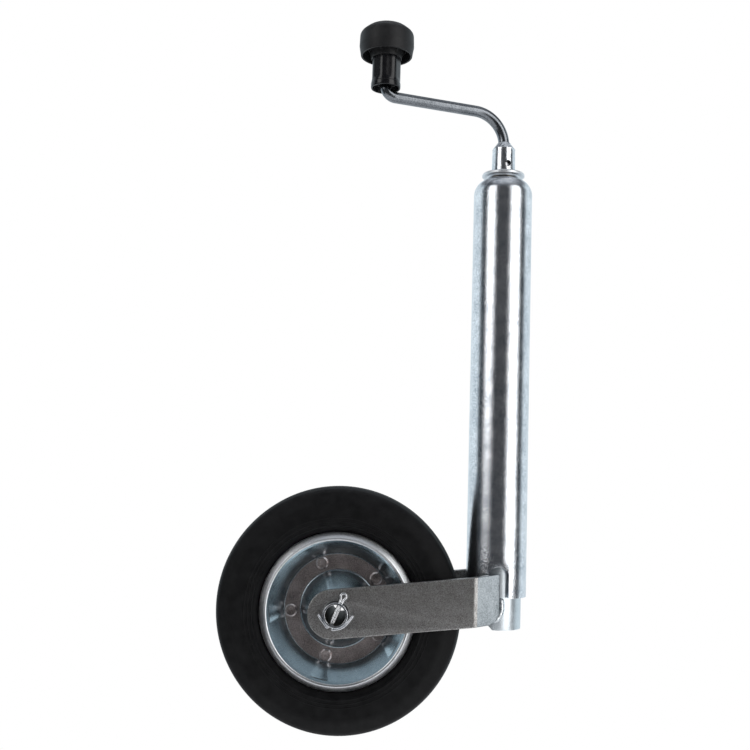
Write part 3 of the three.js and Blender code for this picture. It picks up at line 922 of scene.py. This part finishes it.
for label, side in (("near", -1), ("far", 1)):
    place(f"fork_arm_{label}_folded", fork_arm(side), TUBES, DULL_ZINC, "leg", [f"fork_arm_{label}"],
          extra=[FOOT_ZINC], on=in_foot)
    place(f"foot_weld_{label}", weld_bead(side), TUBES, WELD, "leg")


# --- axle and split pins ------------------------------------------------------------------------

AXLE_BORE_R = 8.0
AXLE_HALF = 42.0
SPLIT_PIN_Y = 37.6
SPLIT_HOLE_R = 2.3
SPLIT_WIRE_R = 0.95
SPLIT_LEG_X = SPLIT_WIRE_R + 0.05
SPLIT_TILT = {"near": 22.0, "far": -32.0}


def axle_tube():
    profile = rounded([
        (AXLE_BORE_R, -AXLE_HALF, 0.3),
        (AXLE_R, -AXLE_HALF, 0.5),
        (AXLE_R, AXLE_HALF, 0.5),
        (AXLE_BORE_R, AXLE_HALF, 0.3),
    ])
    holes = []
    for label, end in (("near", -1), ("far", 1)):
        tilt = Matrix.Rotation(math.radians(SPLIT_TILT[label]), 4, "Y")
        hole = lathe([(0, -15), (SPLIT_HOLE_R, -15), (SPLIT_HOLE_R, 15), (0, 15)], 32)
        holes.append(turned(hole, Matrix.Translation((0, end * SPLIT_PIN_Y, 0)) @ tilt))
    return cut(lathe(profile, 96, "Y"), *holes)


def bent_leg(tip, across):
    """A leg's bent end, from its tip to the axle's hole: it hugs the axle, then stands off."""
    points = []
    for i in range(10):
        degrees = tip + (24 - tip) * i / 9
        flare = max(degrees - (tip - 40), 0) / 40
        radius = AXLE_R + SPLIT_WIRE_R + 0.25 + 2.6 * flare ** 2
        angle = math.radians(degrees)
        points.append((across * radius * math.sin(angle), -radius * math.cos(angle)))
    return points + [(across * 2.7, -11.3), (across * 1.5, -10.7), (across * SPLIT_LEG_X, -9.4)]


def split_pin(label, end):
    """One wire: a leg bent round the axle, up through it, round the eye, and back the same way."""
    shank = [(SPLIT_LEG_X, z) for z in (-6, -2, 2, 6, 9.5)]
    back = [(-x, z) for x, z in reversed(shank)]
    eye = [(1.1, 12.2), *arc(0, 15.2, 2.2, -40, 220, 12), (-1.1, 12.2)]
    line = [*bent_leg(112, 1), *shank, *eye, *back, *reversed(bent_leg(68, -1))]
    curve = smooth_curve([(x, 0, z) for x, z in line], 6)

    def size(share):
        return SPLIT_WIRE_R * min(share / 0.006 + 0.4, (1 - share) / 0.006 + 0.4, 1)

    tilt = Matrix.Rotation(math.radians(SPLIT_TILT[label]), 4, "Y")
    return turned(sweep(curve, size, 18), Matrix.Translation((0, end * SPLIT_PIN_Y, 0)) @ tilt)


def in_axle_bore(face):
    centre = face.calc_center_median()
    return math.hypot(centre.x, centre.z) < AXLE_BORE_R + 0.1


# The faces inside the bore get the near-black steel: painted shade.
place("axle_tube_drilled", axle_tube(), AXLE, ZINC, "leg", ["axle_tube"],
      extra=[BORE_STEEL], on=in_axle_bore)
for label, end in (("near", -1), ("far", 1)):
    place(f"split_pin_{label}_wire", split_pin(label, end), AXLE, WIRE, "leg", [f"split_pin_{label}"])


# --- wheel --------------------------------------------------------------------------------------

TYRE_R = 98.0
TYRE_SIDE_Y = 24.6
RIM_SHEET = 1.8
RIM_RING_Y = 2.0
RIM_RING_R = 43.8
RIVET_RING_R = 38.4
RIVET_COUNT = 5
RIVET_START = 40.0
PEEP_HOLE_R = 2.5
PEEP_HOLE_ANGLE = 166.0
POCKET_R = 6.0
POCKET_SLOPE = 1.75
BOWL_FROM_R = 41.0
BOWL_TO_R = 54.0
RIDGE_RADII = (67.5, 70.5, 73.5)
RIDGE_H = 0.45
RIDGE_HALF = 0.55
FLAT_RING_FROM_R = 31.5
FLAT_RING_TO_R = 43.2
LIP_FROM_R = 55.4


def on_rivet_ring(degrees):
    angle = math.radians(degrees)
    return Vector((RIVET_RING_R * math.cos(angle), 0, RIVET_RING_R * math.sin(angle)))


rivet_places = [on_rivet_ring(RIVET_START + 360 / RIVET_COUNT * i) for i in range(RIVET_COUNT)]


def softly_lower(first, second, blend):
    """The lower of two heights, with a rounded change from one to the other."""
    share = min(max(0.5 + 0.5 * (second - first) / blend, 0), 1)
    return second + (first - second) * share - blend * share * (1 - share)


def rim_half(side):
    """A pressed rim half: boss, flat mating ring, bowl and turned lip, pocketed round each rivet.
    The small hole is left of the wheel's centre in the near half, and right of it in the far one."""
    shown = rounded([
        (14, 25.2),
        (16.9, 24.4, 1.4),
        (30.4, RIM_RING_Y, 1.8),
        (RIM_RING_R, RIM_RING_Y, 0.8),
        (54.0, 20.8, 3.0),
        (55.8, 23.7, 1.2),
        (57.4, 24.0, 1.0),
        (61.9, 20.4, 0.8),
        (62.4, 18.0),
    ], closed=False, degrees_per_step=7)
    shown = densified(shown, 0.65, low=40, high=54)
    hidden = offset_outline(shown, RIM_SHEET)
    bm = lathe([*hidden, *reversed(shown)], 360, "Y")
    bm.verts.ensure_lookup_table()
    rows = len(shown)
    for index, vertex in enumerate(bm.verts):
        row = index % (2 * rows)
        radius = math.hypot(vertex.co.x, vertex.co.z)
        if radius < BOWL_FROM_R or radius > BOWL_TO_R:
            continue
        floor = RIM_RING_Y - (RIM_SHEET if row < rows else 0)
        away = min(math.dist(vertex.co.xz, spot.xz) for spot in rivet_places)
        pocket = floor + max(away - POCKET_R, 0) * POCKET_SLOPE
        vertex.co.y = max(softly_lower(vertex.co.y, pocket, 0.5), floor)
    hole_angle = PEEP_HOLE_ANGLE if side < 0 else 180 - PEEP_HOLE_ANGLE
    peep = turned(rod_about_y(PEEP_HOLE_R, -6, 8, 32), Matrix.Translation(on_rivet_ring(hole_angle)))
    bm = cut(bm, peep)
    return mirrored(bm) if side < 0 else bm


def rim_rivet(spot):
    """A closed rivet, set flat, with a dimple in each head."""
    base = RIM_RING_Y + 0.05
    head = [(0, base + 1.1), (1.2, base + 1.25, 0.8), (4.0, base + 1.7, 0.5), (5.2, base + 0.5, 0.4),
            (5.2, base), (3.0, base)]
    mirror = [(c[0], -c[1], *c[2:]) for c in reversed(head)]
    return turned(lathe(rounded([*mirror, *head[::-1]], degrees_per_step=20), 40, "Y"),
                  Matrix.Translation(spot))


def tyre():
    """Solid rubber on the bowls, with rounded shoulders and three fine rings on each side."""
    seat = [(45.9, 0.6), (46.9, 2.4), (54.6, 16.6), (62.9, 16.8, 0.3)]
    side = [(62.9, 18.8, 0.3), (66.4, 22.6, 3)]
    for radius in RIDGE_RADII:
        side += [
            (radius - RIDGE_HALF, TYRE_SIDE_Y, 0.2),
            (radius, TYRE_SIDE_Y + RIDGE_H, 0.3),
            (radius + RIDGE_HALF, TYRE_SIDE_Y, 0.2),
        ]
    side += [
        (84.5, TYRE_SIDE_Y, 12),
        (95.2, 19.5, 7),
        (97.6, 12.0, 10),
        (TYRE_R - 0.25, 0.5),
        (TYRE_R, 0),
    ]
    half = [*seat, *side]
    mirror = [(c[0], -c[1], *c[2:]) for c in half[:-1]]
    return lathe(rounded([*mirror, *reversed(half)], degrees_per_step=6), 216, "Y")


def hub_bush(side):
    bm = lathe(rounded([
        (10.05, 15),
        (11.3, 15, 0.3),
        (11.3, 27.7),
        (15, 27.7, 0.4),
        (15, 29.5, 0.6),
        (10.05, 29.5, 0.3),
    ]), 72, "Y")
    return mirrored(bm) if side < 0 else bm


def rim_region(face):
    """1 on the flat ring that carries the rivets, 2 on the turned lip, and 0 elsewhere. The ring gets a brown
    copy of the zinc as painted reflection, the lip a paler one as painted highlight.
    """
    centre = face.calc_center_median()
    radius = math.hypot(centre.x, centre.z)
    if FLAT_RING_FROM_R < radius < FLAT_RING_TO_R and abs(face.normal.y) > 0.9:
        return 1
    return 2 if radius > LIP_FROM_R else 0


def hub_tube():
    return lathe(rounded([(11.6, -27.4), (13, -27.4, 0.4), (13, 27.4, 0.4), (11.6, 27.4)]), 72, "Y")


for label, side in (("near", -1), ("far", 1)):
    place(f"rim_half_{label}_pressed", rim_half(side), AXLE, RIM_ZINC, "wheel", [f"rim_half_{label}"],
          extra=[RING_ZINC, LIP_ZINC], on=rim_region)
    place(f"hub_bush_{label}_moulded", hub_bush(side), AXLE, NYLON, "wheel", [f"hub_bush_{label}"])
# The rivets wear the brown copy of the zinc: painted reflection.
for index, spot in enumerate(rivet_places, 1):
    place(f"rim_rivet_{index}_set", rim_rivet(spot), AXLE, RING_ZINC, "wheel", [f"rim_rivet_{index}"])
place("tyre_moulded", tyre(), AXLE, RUBBER, "wheel", ["tyre"])
place("hub_tube_cut", hub_tube(), AXLE, STEEL, "wheel", ["hub_tube"])


# --- CAD nodes that keep their shape --------------------------------------------------------------

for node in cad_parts.values():
    if not node.hide_render:
        for slot in node.material_slots:
            slot.material = FINISH_OF_SLOT[slot.material.name]


# --- studio -------------------------------------------------------------------------------------

LENS_FOCUS_PX = 1000.0
IMAGE_PX = 750.0
SENSOR_MM = 36.0
CAMERA_AT = Vector((-75.5, -819.5, 102.5))
CAMERA_YAW = math.radians(1.87)
CAMERA_PITCH = math.radians(5.05)
CAMERA_ROLL = math.radians(1.68)


def camera():
    data = bpy.data.cameras.new("camera")
    data.sensor_width = SENSOR_MM
    data.lens = LENS_FOCUS_PX / IMAGE_PX * SENSOR_MM
    data.clip_start = 0.01
    data.clip_end = 50
    holder = bpy.data.objects.new("camera", data)
    bpy.context.scene.collection.objects.link(holder)
    look = (
        Matrix.Rotation(CAMERA_YAW, 4, "Z")
        @ Matrix.Rotation(math.pi / 2 + CAMERA_PITCH, 4, "X")
        @ Matrix.Rotation(CAMERA_ROLL, 4, "Z")
    )
    holder.matrix_world = Matrix.Translation(TUBES @ CAMERA_AT) @ look
    bpy.context.scene.camera = holder


BLACK, WHITE = (0, 0, 0), (1, 1, 1)
LEG_TRAVEL_M = 0.22
FLOOR_R_M = 0.62
FLOOR_CENTRE_X_M = -0.1
FLOOR_GAP_M = 0.0005
FLOOR_GLOW = (0.95, 0.97, 1.0)
CEILING = (0.16, 0.17, 0.19)
CEILING_LIGHT = (0.55, 0.58, 0.62)


def studio_world():
    """Soft light from a white backdrop and two tall soft boxes, with a dark room between them."""
    wall, box, room, gap = (0.80, 0.90, 0.96), (2.4, 2.4, 2.4), (0.075, 0.077, 0.082), (0.06, 0.07, 0.08)

    def around(left_box):
        """Colours by azimuth, in degrees from the camera's side. The left box may differ."""
        return [
            (-180, wall), (-98, wall), (-92, gap), (-66, gap), (-62, left_box), (-38, left_box),
            (-33, room), (27, room), (32, box), (65, box), (69, gap), (94, gap), (99, wall), (180, wall),
        ]

    world = bpy.data.worlds.new("studio")
    world.use_nodes = True
    tree = world.node_tree
    tree.nodes.clear()

    def node(kind, operation=None):
        made = tree.nodes.new(kind)
        if operation:
            made.operation = operation
        return made

    coordinates = node("ShaderNodeTexCoord")
    split = node("ShaderNodeSeparateXYZ")
    tree.links.new(coordinates.outputs["Generated"], split.inputs[0])
    flipped = node("ShaderNodeMath", "MULTIPLY")
    flipped.inputs[1].default_value = -1
    tree.links.new(split.outputs["Y"], flipped.inputs[0])
    azimuth = node("ShaderNodeMath", "ARCTAN2")
    tree.links.new(split.outputs["X"], azimuth.inputs[0])
    tree.links.new(flipped.outputs[0], azimuth.inputs[1])

    def scaled(value, low, high):
        """value, from 0 at low to 1 at high."""
        made = node("ShaderNodeMapRange")
        made.inputs["From Min"].default_value = low
        made.inputs["From Max"].default_value = high
        tree.links.new(value, made.inputs["Value"])
        return made.outputs["Result"]

    def ramp(share, low, high, stops):
        """Colours at stops that run from low to high."""
        made = node("ShaderNodeValToRGB")
        elements = made.color_ramp.elements
        while len(elements) < len(stops):
            elements.new(0.5)
        for element, (stop, rgb) in zip(elements, stops):
            element.position = (stop - low) / (high - low)
            element.color = (*rgb, 1)
        tree.links.new(share, made.inputs["Fac"])
        return made.outputs["Color"]

    def mixed(factor, first, second):
        made = node("ShaderNodeMix")
        made.data_type = "RGBA"
        tree.links.new(factor, made.inputs["Factor"])
        tree.links.new(first, made.inputs["A"])
        tree.links.new(second, made.inputs["B"])
        return made.outputs["Result"]

    turn = scaled(azimuth.outputs[0], -math.pi, math.pi)
    height = split.outputs["Z"]
    above = ramp(turn, -180, 180, around(box))
    below = ramp(turn, -180, 180, around(room))
    sides = mixed(scaled(height, -0.09, 0.14), below, above)
    rise = scaled(height, -1, 1)
    ends = ramp(rise, -1, 1, ((-0.5, FLOOR_GLOW), (0, CEILING), (0.75, CEILING), (0.92, CEILING_LIGHT)))
    share_of_ends = ramp(rise, -1, 1, ((-0.58, WHITE), (-0.42, BLACK), (0.55, BLACK), (0.70, WHITE)))
    all_round = mixed(share_of_ends, sides, ends)
    lit = node("ShaderNodeBackground")
    tree.links.new(all_round, lit.inputs["Color"])
    seen = node("ShaderNodeBackground")
    seen.inputs["Color"].default_value = (1, 1, 1, 1)
    path = node("ShaderNodeLightPath")
    choice = node("ShaderNodeMixShader")
    tree.links.new(path.outputs["Is Camera Ray"], choice.inputs[0])
    tree.links.new(lit.outputs[0], choice.inputs[1])
    tree.links.new(seen.outputs[0], choice.inputs[2])
    output = node("ShaderNodeOutputWorld")
    tree.links.new(choice.outputs[0], output.inputs["Surface"])
    bpy.context.scene.world = world


def area_light(name, at, towards, size, power):
    data = bpy.data.lights.new(name, "AREA")
    data.shape = "RECTANGLE"
    data.size, data.size_y = size
    data.energy = power
    holder = bpy.data.objects.new(name, data)
    bpy.context.scene.collection.objects.link(holder)
    direction = Vector(towards) - Vector(at)
    holder.matrix_world = Matrix.Translation(at) @ direction.to_track_quat("-Z", "Y").to_matrix().to_4x4()
    holder.visible_glossy = False


def floor():
    """A plain pale floor, just under where the wheel comes when the leg is wound right out."""
    level = cad_box[0].z - FLOOR_GAP_M
    bm = bmesh.new()
    bmesh.ops.create_circle(bm, cap_ends=True, segments=96, radius=FLOOR_R_M,
                            matrix=Matrix.Translation((FLOOR_CENTRE_X_M, 0, level)))
    mesh = bpy.data.meshes.new("floor")
    bm.to_mesh(mesh)
    bm.free()
    finish = Finish("pale_floor", Roughness=0.9, Emission_Color=(1, 1, 1, 1), Emission_Strength=0.7)
    finish.colour(finish.noise(40, detail=2), (0.3, (0.90, 0.90, 0.90)), (0.7, (0.93, 0.93, 0.93)))
    mesh.materials.append(finish.material)
    surface = bpy.data.objects.new("floor", mesh)
    surface.location.z = -LEG_TRAVEL_M
    bpy.context.scene.collection.objects.link(surface)
    surface.visible_glossy = False


camera()
studio_world()
floor()
area_light("overhead", (-0.1, 0.2, 1.5), (-0.1, 0, -0.2), (1.6, 1.6), 60)
bpy.context.scene.view_settings.view_transform = "Standard"
